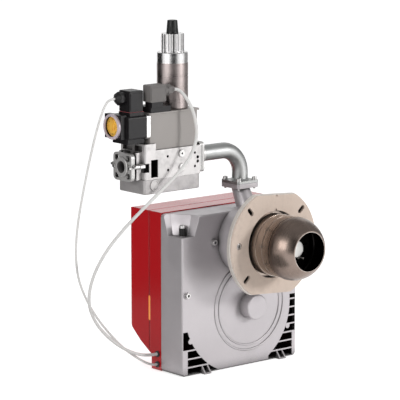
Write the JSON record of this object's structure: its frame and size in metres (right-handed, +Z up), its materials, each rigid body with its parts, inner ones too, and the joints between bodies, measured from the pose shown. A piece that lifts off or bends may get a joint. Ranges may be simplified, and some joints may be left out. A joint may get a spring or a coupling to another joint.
{
  "type": "industrial gas burner",
  "caption": "Forced-draught gas burner: blast tube with rounded head, boiler flange, fan housing with cover, bent gas pipe and gas valve train with cables.",
  "frame": {"origin": "centre of the boiler gasket's front face, on the axis of the blast tube", "axes": "-Y along the blast tube out of the mouth into the boiler, +Z up, +X to the right seen from the boiler"},
  "size_m": [0.5311, 0.366, 0.7046],
  "materials": {
    "gasket_fibre": "matt beige heat-proof board",
    "flange_metal": "bare cast aluminium",
    "screw_steel": "zinc plated",
    "tube_steel": "heat-tinted steel",
    "head_steel": "heat-tinted steel",
    "lance_metal": "satin",
    "disc_steel": "satin",
    "ceramic": "glazed",
    "housing_paint": "satin silver-grey paint",
    "cover_paint": "gloss deep red paint",
    "amber_button": "clear amber",
    "black_rubber": "soft black",
    "galvanised": "galvanised sheet",
    "black_sheet": "matt black sheet",
    "fan_metal": "satin",
    "shaft_steel": "ground",
    "motor_metal": "satin cast",
    "control_plastic": "fine matt",
    "transformer_black": "resin",
    "switch_grey": "fine matt",
    "servo_black": "fine matt",
    "pipe_steel": "dull zinc",
    "valve_alu": "bright die-cast",
    "base_alu": "blasted die-cast",
    "inlet_alu": "die-cast",
    "coil_grey": "satin warm grey",
    "bright_plate": "polished",
    "switch_black": "fine matt",
    "dial_yellow": "gloss yellow",
    "clear_ring": "clear",
    "seal_red": "soft red",
    "plug_grey": "fine matt",
    "tower_anodised": "mauve-grey anodised",
    "chrome": "chrome plated",
    "cap_black": "matt",
    "cable_white": "soft white sheath"
  },
  "bodies": {
    "burner": {"flange_gasket": "gasket_fibre", "boiler_flange": "flange_metal", "flange_screws": "screw_steel", "blast_tube": "tube_steel", "combustion_head": "head_steel", "gas_head": "lance_metal", "diffuser_disc": "disc_steel", "ignition_electrode": "ceramic", "ionisation_probe": "ceramic", "neck": "housing_paint", "front_casting": "housing_paint", "front_screws": "screw_steel", "pocket_screws": "screw_steel", "rear_cover": "cover_paint", "cover_screws": "screw_steel", "cable_grommets": "black_rubber", "inlet_plate": "black_sheet", "motor": "motor_metal", "motor_bracket": "black_sheet", "control_tray": "black_sheet", "control_box": "control_plastic", "ignition_transformer": "transformer_black", "air_pressure_switch": "switch_grey", "shutter_servo": "servo_black", "gas_pipe": "pipe_steel", "gas_flange_gasket": "black_rubber", "gas_flange_screws": "screw_steel", "valve_body": "valve_alu", "valve_base": "base_alu", "valve_plugs": "screw_steel", "inlet_flange": "inlet_alu", "inlet_screws": "screw_steel", "test_nipples": "screw_steel", "outlet_flange": "inlet_alu", "outlet_screws": "screw_steel", "coil_housing": "coil_grey", "coil_end_plate": "bright_plate", "pressure_switch": "switch_black", "dial_window": "clear_ring", "switch_plug": "switch_black", "switch_plug_gland": "switch_black", "plug_seal": "seal_red", "coil_plug_base": "switch_black", "coil_plug": "plug_grey", "coil_plug_gland": "plug_grey", "regulator_tower": "tower_anodised", "tower_collar": "chrome", "coil_cable": "cable_white", "switch_cable": "cable_white"},
    "fan": {"fan_impeller": "fan_metal", "motor_shaft": "shaft_steel"},
    "shutter": {"air_shutter": "galvanised"},
    "dial": {"setting_dial": "dial_yellow"},
    "knob": {"flow_knob": "chrome"},
    "cap": {"stem_cap": "cap_black"},
    "button": {"reset_button": "amber_button"}
  },
  "joints": [
    {"name": "fan_spin", "type": "hinge", "parent": "burner", "child": "fan", "pos_m": [0.012, 0.16, -0.139], "axis": [0, 1, 0], "continuous": true},
    {"name": "shutter_turn", "type": "hinge", "parent": "burner", "child": "shutter", "pos_m": [0.012, 0.1537, -0.139], "axis": [0, -1, 0], "range_deg": [0, 45]},
    {"name": "dial_turn", "type": "hinge", "parent": "burner", "child": "dial", "pos_m": [-0.318, 0.101, 0.252], "axis": [1, 0, 0], "range_deg": [-135, 135]},
    {"name": "flow_knob_turn", "type": "hinge", "parent": "burner", "child": "knob", "pos_m": [-0.1725, 0.104, 0.4], "axis": [0, 0, 1], "range_deg": [0, 340]},
    {"name": "cap_lift", "type": "slide", "parent": "knob", "child": "cap", "axis": [0, 0, 1], "range_m": [0, 0.03]},
    {"name": "button_press", "type": "slide", "parent": "burner", "child": "button", "axis": [1, 0, 0], "range_m": [0, 0.003], "stiffness_N_per_m": 400, "springref_m": -0.002}
  ]
}
